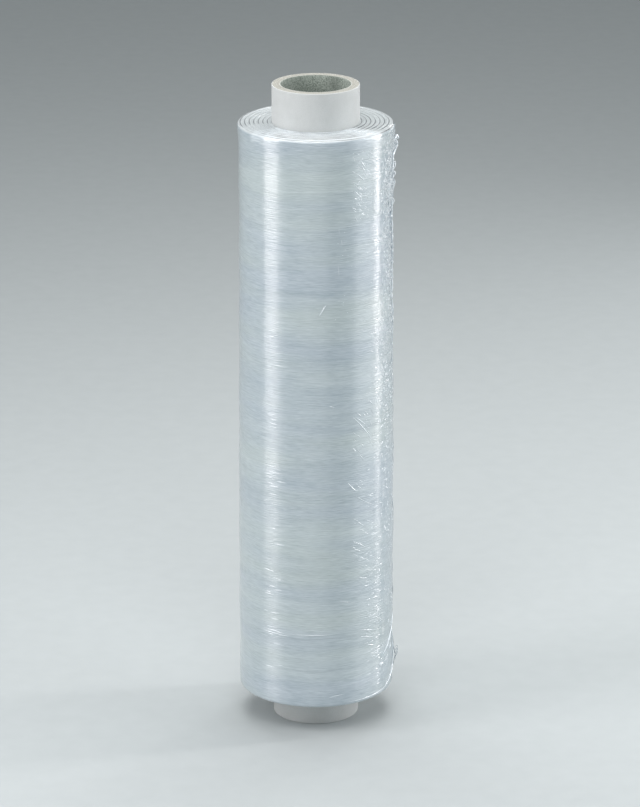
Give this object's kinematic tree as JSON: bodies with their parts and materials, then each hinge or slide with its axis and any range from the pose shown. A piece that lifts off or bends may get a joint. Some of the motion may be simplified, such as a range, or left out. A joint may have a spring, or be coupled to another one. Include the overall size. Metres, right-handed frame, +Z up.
{
  "type": "stretch wrap roll",
  "caption": "Upright hand roll of clear stretch film wound on a white paperboard tube that stands out at both ends as grips.",
  "frame": {"origin": "on the core's axis at its bottom end face, on the surface that the roll stands on", "axes": "+Z up along the core's axis, +X towards the side where the film's loose end lies, -Y towards the viewer of the picture"},
  "size_m": [0.1203, 0.1188, 0.503],
  "materials": {
    "paperboard": "smooth uncoated off-white liner over grey board, open cut edges",
    "film": "clear film that turns milky in many turns, glossy, finely striped round the roll"
  },
  "bodies": {
    "root": {"core": "paperboard", "film_roll": "film"}
  },
  "joints": []
}
